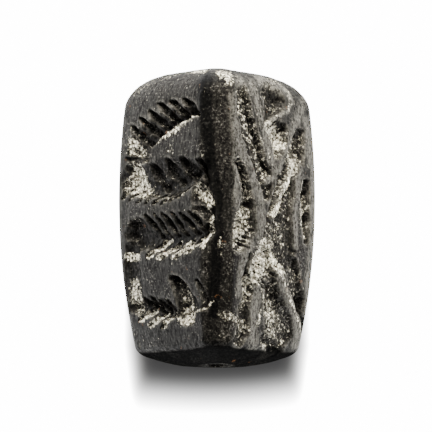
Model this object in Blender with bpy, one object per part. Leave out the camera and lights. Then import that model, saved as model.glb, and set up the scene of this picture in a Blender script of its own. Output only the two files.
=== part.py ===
"""A black stone seal: a three-sided prism with domed ends, lying on its base face, its two upper faces
deeply carved and its axis drilled for a cord. Metres, +Z up, the long axis along Y, the origin under the
middle of the base face."""

import math

import bmesh
import bpy
import numpy as np
from mathutils import Vector

# Driving dimensions of the stone
LENGTH = 0.0298
WIDTH = 0.0199
HEIGHT = 0.0156
RIDGE_FLAT = 0.003
RIDGE_CORNER_RADIUS = 0.0014
BASE_CORNER_RADIUS = 0.0026
BASE_CORNER_HALF_ANGLE = math.radians(29.0)
FACE_BULGE = 0.0005
FACE_RADIUS = 0.030

# Its two ends: how far they dome, how rounded their rims are, how far the rims curve back at the sides (the
# head's curve forward), how far the head's top leans back, how much further one side of it reaches
HEAD_DOME = 0.00015
HEAD_ROUNDING = 0.0031
HEAD_BOW = -0.00005
HEAD_LEAN = 0.0008
HEAD_SKEW = 0.00018
FOOT_DOME = 0.00065
FOOT_ROUNDING = 0.00085
FOOT_BOW = 0.0014

# Where the stone is widest, from the middle towards the head, and the shares it loses by an end's distance
WIDEST_AT = 0.0026
SIDE_TAPER_SHARE = 0.147
RIDGE_TAPER_SHARE = 0.074
HEAD_WEAR_SHARE = 0.09

# The cord hole, drilled from both ends and narrowest where the two drillings meet
HOLE_MOUTH_RADIUS = 0.0013
HOLE_WAIST_RADIUS = 0.00105
HOLE_HEIGHT = 0.0056

# Depths of the carving, and the shares of a cut's half width that its wall and its tips take up
CHANNEL_DEPTH = 0.0005
TROUGH_DEPTH = 0.0005
POCKET_DEPTH = 0.001
COMB_DEPTH = 0.00065
NICK_DEPTH = 0.0004
FIELD_DEPTH = 0.0005
HOLLOW_DEPTH = 0.00045
CREASE_DEPTH = 0.0004
BASE_STROKE_DEPTH = 0.0004
STEEP_WALL_SHARE = 0.3
ROUND_WALL_SHARE = 0.85
STROKE_TIP_SHARE = 0.55

# How finely the stone is drawn before its flat parts are thinned out
COLUMNS = 240
BODY_ROWS = 210
CORNER_STEPS = 10
ROUNDING_ROWS = 7
END_FACE_ROWS = 7
HOLE_ROWS = 5
KEPT_SHARE = 0.082

STONE_COLOUR = (0.03, 0.03, 0.032, 1.0)
STONE_ROUGHNESS = 0.4

# The carving is drawn on a sheet laid over the stone, seen from just in front of straight above. Its units
# are a tenth of a millimetre at this size and grow with the stone.
SHEET_LEAN = math.radians(9.0)
SHEET_HEIGHT = 0.007
UNITS_ALONG = 298.0
UNITS_ACROSS = 199.0

# Left face: a winding channel in strokes of (across, along, half width), with a trough along its lower lip
CHANNELS = (
    ((-24, 105, 4), (-33, 102, 7), (-45, 98, 9), (-57, 92, 10), (-68, 83, 11), (-78, 73, 11), (-81, 64, 10)),
    ((-86, 36, 13), (-70, 34, 17), (-54, 37, 20), (-39, 40, 19), (-27, 43, 15), (-14, 45, 11)),
    ((-84, -18, 9), (-68, -17, 17), (-52, -18, 20), (-37, -15, 19), (-22, -11, 16), (-10, -10, 12)),
    ((-82, -88, 9), (-67, -90, 12), (-54, -92, 12), (-47, -94, 9)),
    ((-84, -30, 8), (-86, -44, 7), (-84, -60, 9), (-83, -76, 10), (-81, -90, 10)),
)
TROUGHS = (
    ((-25, 104, 3), (-36, 97, 4.5), (-46, 92, 5), (-55, 86, 6), (-64, 79, 7), (-72, 70, 8), (-75, 60, 7)),
    ((-84, 30, 12), (-67, 26, 9), (-53, 26, 9), (-40, 30, 9), (-30, 35, 8), (-23, 42, 6)),
    ((-82, -20, 9), (-57, -28, 10), (-42, -26, 10), (-27, -22, 9), (-14, -18, 8), (-8, -12, 7)),
    ((-82, -92, 7), (-67, -95, 8), (-54, -97, 9), (-47, -97, 7)),
)
POCKETS = (
    ((-82, 64, 8), (-78, 62, 7)),
    ((-84, 46, 9), (-83, 38, 10)),
    ((-14, 26, 10), (-13, 16, 11)),
    ((-15, 5, 10), (-10, 2, 10)),
    ((-43, -62, 4.5), (-35, -73, 8), (-29, -87, 10), (-30, -99, 9)),
    ((-80, -10, 9), (-78, -27, 9)),
)
LEFT_CREASES = (
    ((-20, -63, 2.5), (-14, -73, 3), (-10, -84, 3.5), (-12, -90, 4)),
    ((-90, 57, 3), (-80, 55, 3), (-70, 56, 3)),
    ((-2, 36, 2), (-1, 20, 2.5), (-2, 4, 2)),
)
# A comb is (the line its strokes' middles lie on, half a stroke, half width, strokes)
COMBS = (
    (((-26, 108), (-52, 103), (-79, 81)), (6.5, -8), 4.0, 6),
    (((-60, 38), (-44, 45), (-13, 45)), (5, -11), 6.5, 4),
    (((-66, -10), (-44, -8), (-22, -6)), (5.5, -11), 2.6, 6),
    (((-72, -88), (-48, -91)), (3.5, -7), 3.2, 4),
)
NICKS = (
    (((-92, 22), (-71, 16), (-50, 17), (-34, 24), (-24, 34)), (-3.5, -4.5), 2, 10),
    (((-63, -32), (-40, -35), (-24, -28), (-11, -18)), (-5.5, -8), 3.2, 5),
    (((-73, -98), (-62, -103), (-50, -104)), (-4.5, -6.5), 3.4, 3),
    (((-22, 102), (-45, 87), (-66, 73)), (1.5, 3), 1.5, 10),
)

# Right face: one broad sunk field with smooth bars left standing in it, hollows and narrow creases
FIELDS = (
    ((24, 126, 5), (26, 106, 6), (31, 86, 7), (37, 66, 8), (43, 48, 8), (49, 34, 7), (50, 20, 5)),
    ((50, 126, 7), (58, 116, 11), (57, 104, 10), (51, 96, 5)),
    ((60, 86, 11), (62, 76, 9), (61, 62, 6)),
    ((84, 84, 5), (81, 68, 8), (79, 50, 9), (71, 30, 11), (66, 10, 13), (62, -10, 15), (62, -34, 18)),
    ((22, 54, 2), (26, 38, 4), (30, 22, 6), (31, 6, 8), (27, -12, 12), (24, -28, 8)),
    ((52, -30, 10), (52, -50, 14), (44, -62, 10)),
    ((54, -64, 5), (56, -82, 10), (60, -100, 14), (61, -116, 15), (57, -128, 11)),
    ((27, -56, 5), (30, -74, 5), (27, -94, 6), (26, -110, 7), (22, -122, 6)),
    ((70, -36, 8), (75, -56, 7), (80, -76, 6), (84, -92, 5), (87, -108, 4)),
    ((90, 34, 3), (90, 20, 6), (91, 4, 6), (91, -12, 5), (90, -26, 3)),
)
BARS = (
    ((14, 118, 6), (16, 96, 7), (20, 76, 7), (27, 62, 6), (34, 50, 6), (43, 20, 6), (45, 0, 5.5)),
    ((45, 0, 5.5), (44, -14, 5), (40, -28, 4)),
    ((18, 66, 3), (19, 46, 3.4), (19, 26, 3.4), (19, 4, 3.6), (16, -10, 3)),
    ((34, 134, 5), (38, 120, 5.5), (42, 104, 5.5), (46, 90, 5.5), (51, 74, 5.5), (55, 58, 5), (58, 46, 4.5)),
    ((88, 118, 5), (84, 104, 6), (78, 90, 5.5), (73, 76, 5), (64, 48, 5), (58, 39, 6), (50, 34, 5)),
    ((76, 50, 3), (72, 38, 4), (67, 26, 4.5), (61, 12, 4.5), (57, -2, 4)),
    ((85, 50, 3.5), (82, 36, 4), (80, 20, 4), (78, 2, 4), (79, -14, 3.5), (80, -32, 3)),
    ((90, 98, 5), (94, 70, 5), (96, 40, 4), (96, 0, 3.5), (95, -30, 4), (92, -60, 5), (91, -100, 5)),
    ((34, -26, 4), (30, -38, 7), (26, -50, 6), (22, -62, 4), (20, -78, 3.5)),
    ((46, -44, 4), (44, -58, 5), (41, -72, 6), (38, -86, 6.5), (36, -100, 6.5), (35, -128, 7)),
    ((60, -54, 4), (66, -66, 5), (71, -78, 5.5), (76, -90, 5.5), (80, -104, 6), (83, -116, 7), (80, -130, 8)),
    ((50, 92, 2.5), (60, 98, 3), (72, 106, 3), (75, 114, 3), (72, 124, 3), (62, 134, 3)),
)
HOLLOWS = (
    ((50, 122, 7), (60, 114, 10), (57, 105, 8)),
    ((63, 84, 7), (62, 74, 6), (60, 64, 3)),
    ((82, 78, 5), (82, 68, 6), (80, 58, 5)),
    ((30, 10, 5), (27, -8, 9)),
    ((52, -36, 6), (50, -52, 7)),
    ((55, -70, 4), (57, -82, 8), (57, -92, 9)),
    ((84, -84, 4), (87, -102, 4)),
    ((91, 22, 4), (91, 10, 4)),
    ((91, -4, 4), (91, -16, 4)),
    ((48, -122, 6), (58, -130, 7)),
)
CREASES = (
    ((29, 122, 1), (32, 108, 1.3), (36, 92, 1.5), (41, 76, 1.7), (46, 60, 2), (51, 46, 1.8)),
    ((22, 58, 1.2), (26, 46, 1.8), (30, 32, 2.3), (33, 20, 2.3), (35, 8, 2)),
    ((75, 72, 1.3), (71, 58, 1.8), (67, 48, 1.8), (62, 38, 1.4)),
    ((78, 46, 1.5), (74, 32, 2.2), (69, 18, 2.4), (66, 6, 2)),
    ((33, -36, 1.2), (30, -48, 1.8), (29, -58, 1.4)),
    ((82, -76, 1.5), (85, -92, 2), (87, -106, 2.4), (87, -118, 1.8)),
    ((-1, 36, 1.5), (0, 14, 1.5)),
)

# Base face: two plain rows of short slanted strokes, set out by shares of the base's half width and length
BASE_ROW_AT_SHARE = 0.5
BASE_ROW_REACH_SHARE = 0.66
BASE_STROKES = 9
BASE_STROKE_LENGTH = 0.0015
BASE_STROKE_HALF_WIDTH = 0.00042
BASE_STROKE_SLANT_SHARE = 0.6


def smooth(share):
    """Rises softly from 0 to 1 as share goes from 0 to 1."""
    share = np.clip(share, 0.0, 1.0)
    return share * share * (3.0 - 2.0 * share)


def rounded_outline(corners, radii):
    """The points of a convex outline whose corners are arcs of the given radii."""
    points = []
    for index, corner in enumerate(corners):
        corner = Vector(corner)
        back = (Vector(corners[index - 1]) - corner).normalized()
        ahead = (Vector(corners[(index + 1) % len(corners)]) - corner).normalized()
        half_angle = back.angle(ahead) / 2
        radius = radii[index]
        middle = corner + (back + ahead).normalized() * (radius / math.sin(half_angle))
        first = corner + back * (radius / math.tan(half_angle)) - middle
        turn = math.pi - 2 * half_angle
        start = math.atan2(first.y, first.x)
        for step in range(CORNER_STEPS + 1):
            angle = start + turn * step / CORNER_STEPS
            points.append(middle + Vector((math.cos(angle), math.sin(angle))) * radius)
    return np.array(points)


def section():
    """The widest cross-section, as points (across, up) evenly spaced round it, starting under the left."""
    base_corner = WIDTH / 2 + BASE_CORNER_RADIUS * (1 / math.tan(BASE_CORNER_HALF_ANGLE) - 1)
    ridge_corner = RIDGE_FLAT / 2
    outward = Vector((HEIGHT, base_corner - ridge_corner)).normalized()
    bulge = Vector(((base_corner + ridge_corner) / 2, HEIGHT / 2)) + outward * FACE_BULGE
    corners = [
        (-base_corner, 0.0),
        (base_corner, 0.0),
        (bulge.x, bulge.y),
        (ridge_corner, HEIGHT),
        (-ridge_corner, HEIGHT),
        (-bulge.x, bulge.y),
    ]
    radii = [
        BASE_CORNER_RADIUS,
        BASE_CORNER_RADIUS,
        FACE_RADIUS,
        RIDGE_CORNER_RADIUS,
        RIDGE_CORNER_RADIUS,
        FACE_RADIUS,
    ]
    points = rounded_outline(corners, radii)
    points *= (WIDTH / 2 / points[:, 0].max(), HEIGHT / points[:, 1].max())
    closed = np.vstack([points, points[:1]])
    run = np.concatenate([[0.0], np.cumsum(np.hypot(*np.diff(closed, axis=0).T))])
    stops = np.linspace(0.0, run[-1], COLUMNS, endpoint=False)
    return np.stack([np.interp(stops, run, closed[:, k]) for k in (0, 1)], axis=1)


def ring(outline, share, along):
    """One row of the side: the section at its place along the stone, drawn in to a share of its size."""
    from_widest = ((along - WIDEST_AT) / (LENGTH / 2)) ** 2
    across = outline[:, 0] * (1 - SIDE_TAPER_SHARE * from_widest) * share
    sideways = across / (WIDTH / 2)
    reach = along / (LENGTH / 2)
    narrowed = 1 - RIDGE_TAPER_SHARE * from_widest - HEAD_WEAR_SHARE * max(reach, 0.0) ** 6
    up = HOLE_HEIGHT + (outline[:, 1] * narrowed - HOLE_HEIGHT) * share
    bow = HEAD_BOW if along > 0 else -FOOT_BOW
    lean = HEAD_LEAN * np.clip((up - HOLE_HEIGHT) / (HEIGHT - HOLE_HEIGHT), 0, 1)
    bowed = along - bow * reach**2 * sideways**2 - (lean + HEAD_SKEW * sideways) * max(reach, 0.0) ** 4
    return np.stack([across, bowed, up], axis=1)


def end_rows(outline, end, dome, rounding):
    """The rows of one end, from the hole's mouth out to the side. end is 1 at the head, -1 at the foot."""
    mean_radius = math.sqrt(WIDTH * HEIGHT / 2 / math.pi)
    inset = rounding / mean_radius
    rim = ring(outline, 1 - inset, end * (LENGTH / 2 - dome))
    away = rim[:, (0, 2)] - (0.0, HOLE_HEIGHT)
    mouth = away / np.hypot(*away.T)[:, None] * HOLE_MOUTH_RADIUS + (0.0, HOLE_HEIGHT)
    rows = []
    for step in range(END_FACE_ROWS):
        share = step / END_FACE_ROWS
        flat = mouth + (rim[:, (0, 2)] - mouth) * share
        along = end * LENGTH / 2 + (rim[:, 1] - end * LENGTH / 2) * share**2
        rows.append(np.stack([flat[:, 0], along, flat[:, 1]], axis=1))
    for step in range(ROUNDING_ROWS + 1):
        angle = math.pi / 2 * step / ROUNDING_ROWS
        share = 1 - inset + inset * math.sin(angle)
        rows.append(ring(outline, share, end * (LENGTH / 2 - dome - rounding * (1 - math.cos(angle)))))
    return rows


def hole_rows(outline):
    """The wall of the cord hole from just inside the head to just inside the foot."""
    angles = np.arctan2(outline[:, 1] - HOLE_HEIGHT, outline[:, 0])
    rows = []
    for step in range(1, HOLE_ROWS + 1):
        along = LENGTH / 2 * (1 - 2 * step / (HOLE_ROWS + 1))
        radius = HOLE_WAIST_RADIUS + (HOLE_MOUTH_RADIUS - HOLE_WAIST_RADIUS) * abs(along) / (LENGTH / 2)
        wall = (np.cos(angles) * radius, np.full(COLUMNS, along), HOLE_HEIGHT + np.sin(angles) * radius)
        rows.append(np.stack(wall, axis=1))
    return rows


def plain_stone():
    """The uncarved stone as a grid of points closed both ways: rows along it and back through the hole."""
    outline = section()
    foot = end_rows(outline, -1, FOOT_DOME, FOOT_ROUNDING)
    head = end_rows(outline, 1, HEAD_DOME, HEAD_ROUNDING)
    first, last = -LENGTH / 2 + FOOT_DOME + FOOT_ROUNDING, LENGTH / 2 - HEAD_DOME - HEAD_ROUNDING
    side = [ring(outline, 1.0, along) for along in np.linspace(first, last, BODY_ROWS)[1:-1]]
    return np.array(foot + side + head[::-1] + hole_rows(outline))


def outward_normals(grid):
    """Unit normals of a grid closed both ways."""
    along = np.roll(grid, -1, axis=0) - np.roll(grid, 1, axis=0)
    around = np.roll(grid, -1, axis=1) - np.roll(grid, 1, axis=1)
    normals = np.cross(along, around)
    return normals / np.linalg.norm(normals, axis=2, keepdims=True)


def nearness(stroke, across, along):
    """How far inside a stroke each point lies: 1 on its middle line, 0 on its edge, less outside."""
    nearest = np.full(across.shape, np.inf)
    for (a0, b0, r0), (a1, b1, r1) in zip(stroke, stroke[1:]):
        run_a, run_b = a1 - a0, b1 - b0
        share = np.clip(((across - a0) * run_a + (along - b0) * run_b) / (run_a**2 + run_b**2), 0, 1)
        distance = np.hypot(across - a0 - run_a * share, along - b0 - run_b * share)
        nearest = np.minimum(nearest, distance / (r0 + (r1 - r0) * share))
    return 1 - nearest


def deepest(strokes, across, along, depth, wall):
    """The depth of several strokes together: crisp at the lip, rounded into the floor."""
    cut = np.zeros(across.shape)
    for stroke in strokes:
        inside = np.clip(nearness(stroke, across, along) / wall, 0, 1)
        cut = np.maximum(cut, depth * inside * (2 - inside))
    return cut


def comb_strokes(comb):
    """The strokes of a comb, evenly spaced along its line, thin at both tips."""
    line, (tip_a, tip_b), half_width, count = comb
    line = np.array(line, dtype=float)
    run = np.concatenate([[0.0], np.cumsum(np.hypot(*np.diff(line, axis=0).T))])
    strokes = []
    for stop in np.linspace(0.0, run[-1], count):
        a, b = (np.interp(stop, run, line[:, k]) for k in (0, 1))
        tip = half_width * STROKE_TIP_SHARE
        strokes.append(((a - tip_a, b - tip_b, tip), (a, b, half_width), (a + tip_a, b + tip_b, tip)))
    return strokes


def left_face_cut(across, along):
    """The depth of the winding channel, its trough and pockets, combs and nicks."""
    cut = deepest(CHANNELS, across, along, CHANNEL_DEPTH, ROUND_WALL_SHARE)
    cut += deepest(TROUGHS, across, along, TROUGH_DEPTH, ROUND_WALL_SHARE)
    cut = np.maximum(cut, deepest(POCKETS, across, along, POCKET_DEPTH, ROUND_WALL_SHARE))
    cut += deepest(LEFT_CREASES, across, along, CREASE_DEPTH, ROUND_WALL_SHARE)
    for comb in COMBS:
        cut += deepest(comb_strokes(comb), across, along, COMB_DEPTH, ROUND_WALL_SHARE)
    for nick in NICKS:
        cut += deepest(comb_strokes(nick), across, along, NICK_DEPTH, ROUND_WALL_SHARE)
    return cut


def right_face_cut(across, along):
    """The depth of the sunk field, less the bars that stand in it, and of its hollows and creases."""
    cut = deepest(FIELDS, across, along, FIELD_DEPTH, STEEP_WALL_SHARE)
    cut += deepest(HOLLOWS, across, along, HOLLOW_DEPTH, ROUND_WALL_SHARE)
    cut *= 1 - smooth(deepest(BARS, across, along, 1.0, ROUND_WALL_SHARE))
    return cut + deepest(CREASES, across, along, CREASE_DEPTH, ROUND_WALL_SHARE)


def base_face_cut(grid):
    """The depth of the two rows of slanted strokes on the base face."""
    strokes = []
    for side in (-1, 1):
        for index in range(BASE_STROKES):
            share = 2 * index / (BASE_STROKES - 1) - 1
            x, y = side * BASE_ROW_AT_SHARE * WIDTH / 2, share * BASE_ROW_REACH_SHARE * LENGTH / 2
            half = BASE_STROKE_LENGTH / 2
            slant = BASE_STROKE_SLANT_SHARE * half
            width = BASE_STROKE_HALF_WIDTH
            strokes.append(((x - half, y - side * slant, width), (x + half, y + side * slant, width)))
    return deepest(strokes, grid[..., 0], grid[..., 1], BASE_STROKE_DEPTH, ROUND_WALL_SHARE)


def carved_stone():
    """The grid of the stone with its carving cut in along the surface's normals."""
    grid = plain_stone()
    normals = outward_normals(grid)
    lean = np.array([0.0, -math.sin(SHEET_LEAN), math.cos(SHEET_LEAN)])
    sheet_up = np.array([0.0, math.cos(SHEET_LEAN), math.sin(SHEET_LEAN)])
    across = grid[..., 0] * (UNITS_ACROSS / WIDTH)
    along = (grid - (0.0, 0.0, SHEET_HEIGHT)) @ sheet_up * (UNITS_ALONG / LENGTH)
    facing = smooth((normals @ lean - 0.02) / 0.22)
    cut = np.where(across < 0, left_face_cut(across, along), right_face_cut(across, along)) * facing
    cut += base_face_cut(grid) * smooth((-normals[..., 2] - 0.9) / 0.08)
    cut[-HOLE_ROWS:] = 0.0
    return grid - normals * cut[..., None]


def stone_material():
    """Polished black stone."""
    material = bpy.data.materials.new("black_stone")
    material.use_nodes = True
    shader = material.node_tree.nodes["Principled BSDF"]
    shader.inputs["Base Color"].default_value = STONE_COLOUR
    shader.inputs["Roughness"].default_value = STONE_ROUGHNESS
    shader.inputs["Metallic"].default_value = 0.0
    return material


def seal():
    """The seal as one closed mesh, thinned where it is plain."""
    grid = carved_stone()
    rows, columns = grid.shape[:2]
    shape = bmesh.new()
    points = [[shape.verts.new(point) for point in row] for row in grid]
    for i in range(rows):
        j_next = (i + 1) % rows
        for k in range(columns):
            k_next = (k + 1) % columns
            shape.faces.new((points[i][k], points[i][k_next], points[j_next][k_next], points[j_next][k]))
    bmesh.ops.recalc_face_normals(shape, faces=shape.faces)
    mesh = bpy.data.meshes.new("seal")
    shape.to_mesh(mesh)
    shape.free()
    mesh.materials.append(stone_material())
    mesh.shade_smooth()
    body = bpy.data.objects.new("seal", mesh)
    bpy.context.scene.collection.objects.link(body)
    thin = body.modifiers.new("thin out", "DECIMATE")
    thin.ratio = KEPT_SHARE
    thin.use_collapse_triangulate = True
    return body


def main():
    for leftover in list(bpy.data.objects):
        bpy.data.objects.remove(leftover)
    seal()


main()
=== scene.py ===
"""A black stone stamp seal lying on its flat face: a three-sided prism with two deeply carved faces, seen
from above with its narrow ridge towards the camera. Metres, +Z up, the long axis along Y."""

import math

import bmesh
import bpy
import numpy as np
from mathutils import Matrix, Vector, noise


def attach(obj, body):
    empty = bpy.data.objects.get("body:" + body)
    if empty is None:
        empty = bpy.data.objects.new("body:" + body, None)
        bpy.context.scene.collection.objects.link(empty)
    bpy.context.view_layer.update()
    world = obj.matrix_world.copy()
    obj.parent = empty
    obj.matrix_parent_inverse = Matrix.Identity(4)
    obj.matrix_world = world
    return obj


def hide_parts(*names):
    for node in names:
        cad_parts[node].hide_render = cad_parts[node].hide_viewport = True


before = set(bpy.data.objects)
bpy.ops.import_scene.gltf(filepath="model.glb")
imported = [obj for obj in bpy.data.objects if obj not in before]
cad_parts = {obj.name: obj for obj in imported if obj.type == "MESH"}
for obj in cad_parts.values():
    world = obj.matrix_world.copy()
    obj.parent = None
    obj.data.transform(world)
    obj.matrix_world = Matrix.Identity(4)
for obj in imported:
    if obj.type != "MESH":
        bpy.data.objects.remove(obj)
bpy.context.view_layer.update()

# Driving dimensions of the stone
LENGTH = 0.0298
WIDTH = 0.0199
HEIGHT = 0.0156
RIDGE_FLAT = 0.003
RIDGE_CORNER_RADIUS = 0.0014
BASE_CORNER_RADIUS = 0.0026
BASE_CORNER_HALF_ANGLE = math.radians(29.0)
FACE_BULGE = 0.0005
FACE_RADIUS = 0.030

# Its two ends: how far they dome, how rounded their rims are, how far the rims curve back at the sides (the
# head's curve forward), how far the head's top leans back, how much further one side of it reaches
HEAD_DOME = 0.00015
HEAD_ROUNDING = 0.0031
HEAD_BOW = -0.00005
HEAD_LEAN = 0.0008
HEAD_SKEW = 0.00018
FOOT_DOME = 0.00065
FOOT_ROUNDING = 0.00085
FOOT_BOW = 0.0014

# Where the stone is widest, from the middle towards the head, and the shares it loses by an end's distance
WIDEST_AT = 0.0026
SIDE_TAPER_SHARE = 0.147
RIDGE_TAPER_SHARE = 0.074
HEAD_WEAR_SHARE = 0.09

# The cord hole, drilled from both ends and narrowest where the two drillings meet
HOLE_MOUTH_RADIUS = 0.0013
HOLE_WAIST_RADIUS = 0.00105
HOLE_HEIGHT = 0.0056

# Depths of the carving, and the shares of a cut's half width that its wall and its tips take up
CHANNEL_DEPTH = 0.0005
TROUGH_DEPTH = 0.0005
POCKET_DEPTH = 0.001
COMB_DEPTH = 0.00065
NICK_DEPTH = 0.0004
RIGHT_NICK_DEPTH = 0.00025
FIELD_DEPTH = 0.0005
HOLLOW_DEPTH = 0.00045
CREASE_DEPTH = 0.0004
BASE_STROKE_DEPTH = 0.0004
STEEP_WALL_SHARE = 0.3
ROUND_WALL_SHARE = 0.85
STROKE_TIP_SHARE = 0.55

# How finely the stone is drawn, and how much wider its columns are under the base
COLUMNS = 282
BODY_ROWS = 292
CORNER_STEPS = 14
ROUNDING_ROWS = 10
END_FACE_ROWS = 8
HOLE_ROWS = 6
BASE_COLUMN_SHARE = 0.35

# The carving is drawn on a sheet laid over the stone, seen from just in front of straight above. Its units
# are a tenth of a millimetre at this size and grow with the stone.
SHEET_LEAN = math.radians(9.0)
SHEET_HEIGHT = 0.007
UNITS_ALONG = 298.0
UNITS_ACROSS = 199.0

# Left face: a winding channel in strokes of (across, along, half width), with a trough along its lower lip
CHANNELS = (
    ((-24, 105, 4), (-33, 102, 7), (-45, 98, 9), (-57, 92, 10), (-68, 83, 11), (-78, 73, 11), (-81, 64, 10)),
    ((-86, 36, 13), (-70, 34, 17), (-54, 37, 20), (-39, 40, 19), (-27, 43, 15), (-14, 45, 11)),
    ((-84, -18, 9), (-68, -17, 17), (-52, -18, 20), (-37, -15, 19), (-22, -11, 16), (-10, -10, 12)),
    ((-82, -88, 9), (-67, -90, 12), (-54, -92, 12), (-47, -94, 9)),
    ((-84, -30, 8), (-86, -44, 7), (-84, -60, 9), (-83, -76, 10), (-81, -90, 10)),
)
TROUGHS = (
    ((-25, 104, 3), (-36, 97, 4.5), (-46, 92, 5), (-55, 86, 6), (-64, 79, 7), (-72, 70, 8), (-75, 60, 7)),
    ((-84, 30, 12), (-67, 26, 9), (-53, 26, 9), (-40, 30, 9), (-30, 35, 8), (-23, 42, 6)),
    ((-82, -20, 9), (-57, -28, 10), (-42, -26, 10), (-27, -22, 9), (-14, -18, 8), (-8, -12, 7)),
    ((-82, -92, 7), (-67, -95, 8), (-54, -97, 9), (-47, -97, 7)),
)
POCKETS = (
    ((-82, 64, 8), (-78, 62, 7)),
    ((-84, 46, 9), (-83, 38, 10)),
    ((-14, 26, 10), (-13, 16, 11)),
    ((-15, 5, 10), (-10, 2, 10)),
    ((-43, -62, 4.5), (-35, -73, 8), (-29, -87, 10), (-30, -99, 9)),
    ((-80, -10, 9), (-78, -27, 9)),
    ((-70, -90, 7), (-58, -93, 8), (-50, -94, 6)),
)
LEFT_CREASES = (
    ((-20, -63, 2.5), (-14, -73, 3), (-10, -84, 3.5), (-12, -90, 4)),
    ((-90, 57, 3), (-80, 55, 3), (-70, 56, 3)),
)
# A comb is (the line its strokes' middles lie on, half a stroke, half width, strokes)
COMBS = (
    (((-26, 108), (-52, 103), (-79, 81)), (6.5, -8), 5.0, 6),
    (((-60, 38), (-44, 45), (-13, 45)), (5, -11), 6.5, 4),
    (((-66, -10), (-44, -8), (-22, -6)), (5.5, -11), 2.6, 6),
    (((-72, -88), (-48, -91)), (3.5, -7), 3.2, 4),
)
NICKS = (
    (((-92, 22), (-71, 16), (-50, 17), (-34, 24), (-24, 34)), (-3.5, -4.5), 2, 10),
    (((-63, -32), (-40, -35), (-24, -28), (-11, -18)), (-5.5, -8), 3.2, 5),
    (((-73, -98), (-62, -103), (-50, -104)), (-4.5, -6.5), 3.4, 3),
    (((-22, 102), (-45, 87), (-66, 73)), (1.5, 3), 1.5, 10),
)

# Right face: one broad sunk field with smooth bars left standing in it, hollows and narrow creases
FIELDS = (
    ((24, 126, 5), (26, 106, 6), (31, 86, 7), (37, 66, 8), (43, 48, 8), (49, 34, 7), (50, 20, 5)),
    ((50, 126, 7), (58, 116, 11), (57, 104, 10), (51, 96, 5)),
    ((60, 86, 11), (62, 76, 9), (61, 62, 6)),
    ((84, 84, 5), (81, 68, 8), (79, 50, 9), (71, 30, 11), (66, 10, 13), (62, -10, 15), (62, -34, 18)),
    ((22, 54, 2), (26, 38, 4), (30, 22, 6), (31, 6, 8), (27, -12, 12), (24, -28, 8)),
    ((52, -30, 10), (52, -50, 14), (44, -62, 10)),
    ((54, -64, 5), (56, -82, 10), (60, -100, 14), (61, -116, 15), (57, -128, 11)),
    ((27, -56, 5), (30, -74, 5), (27, -94, 6), (26, -110, 7), (22, -122, 6)),
    ((70, -36, 8), (75, -56, 7), (80, -76, 6), (84, -92, 5), (87, -108, 4)),
    ((90, 34, 3), (90, 20, 6), (91, 4, 6), (91, -12, 5), (90, -26, 3)),
)
BARS = (
    ((14, 118, 6), (16, 96, 7), (20, 76, 7), (27, 62, 6), (34, 50, 6), (43, 20, 6), (45, 0, 5.5)),
    ((45, 0, 5.5), (44, -14, 5), (40, -28, 4)),
    ((18, 66, 3), (19, 46, 3.4), (19, 26, 3.4), (19, 4, 3.6), (16, -10, 3)),
    ((34, 134, 5), (38, 120, 5.5), (42, 104, 5.5), (46, 90, 5.5), (51, 74, 5.5), (55, 58, 5), (58, 46, 4.5)),
    ((88, 118, 5), (84, 104, 6), (78, 90, 5.5), (73, 76, 5), (64, 48, 5), (58, 39, 6), (50, 34, 5)),
    ((76, 50, 3), (72, 38, 4), (67, 26, 4.5), (61, 12, 4.5), (57, -2, 4)),
    ((85, 50, 3.5), (82, 36, 4), (80, 20, 4), (78, 2, 4), (79, -14, 3.5), (80, -32, 3)),
    ((90, 98, 5), (94, 70, 5), (96, 40, 4), (96, 0, 3.5), (95, -30, 4), (92, -60, 5), (91, -100, 5)),
    ((34, -26, 4), (30, -38, 7), (26, -50, 6), (22, -62, 4), (20, -78, 3.5)),
    ((46, -44, 4), (44, -58, 5), (41, -72, 6), (38, -86, 6.5), (36, -100, 6.5), (35, -128, 7)),
    ((60, -54, 4), (66, -66, 5), (71, -78, 5.5), (76, -90, 5.5), (80, -104, 6), (83, -116, 7), (80, -130, 8)),
    ((50, 92, 2.5), (60, 98, 3), (72, 106, 3), (75, 114, 3), (72, 124, 3), (62, 134, 3)),
)
HOLLOWS = (
    ((50, 122, 7), (60, 114, 10), (57, 105, 8)),
    ((63, 84, 7), (62, 74, 6), (60, 64, 3)),
    ((82, 78, 5), (82, 68, 6), (80, 58, 5)),
    ((30, 10, 5), (27, -8, 9)),
    ((52, -36, 6), (50, -52, 7)),
    ((55, -70, 4), (57, -82, 8), (57, -92, 9)),
    ((84, -84, 4), (87, -102, 4)),
    ((91, 22, 4), (91, 10, 4)),
    ((91, -4, 4), (91, -16, 4)),
    ((48, -122, 6), (58, -130, 7)),
)
CREASES = (
    ((29, 122, 1), (32, 108, 1.3), (36, 92, 1.5), (41, 76, 1.7), (46, 60, 2), (51, 46, 1.8)),
    ((22, 58, 1.2), (26, 46, 1.8), (30, 32, 2.3), (33, 20, 2.3), (35, 8, 2)),
    ((75, 72, 1.3), (71, 58, 1.8), (67, 48, 1.8), (62, 38, 1.4)),
    ((78, 46, 1.5), (74, 32, 2.2), (69, 18, 2.4), (66, 6, 2)),
    ((33, -36, 1.2), (30, -48, 1.8), (29, -58, 1.4)),
    ((82, -76, 1.5), (85, -92, 2), (87, -106, 2.4), (87, -118, 1.8)),
)
RIGHT_NICKS = (
    (((24, 2), (24, -26)), (8, -6), 1.3, 7),
    (((48, -30), (42, -64)), (8, -7), 1.3, 8),
)

# Base face: two plain rows of short slanted strokes, set out by shares of the base's half width and length
BASE_ROW_AT_SHARE = 0.5
BASE_ROW_REACH_SHARE = 0.66
BASE_STROKES = 9
BASE_STROKE_LENGTH = 0.0015
BASE_STROKE_HALF_WIDTH = 0.00042
BASE_STROKE_SLANT_SHARE = 0.6

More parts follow.
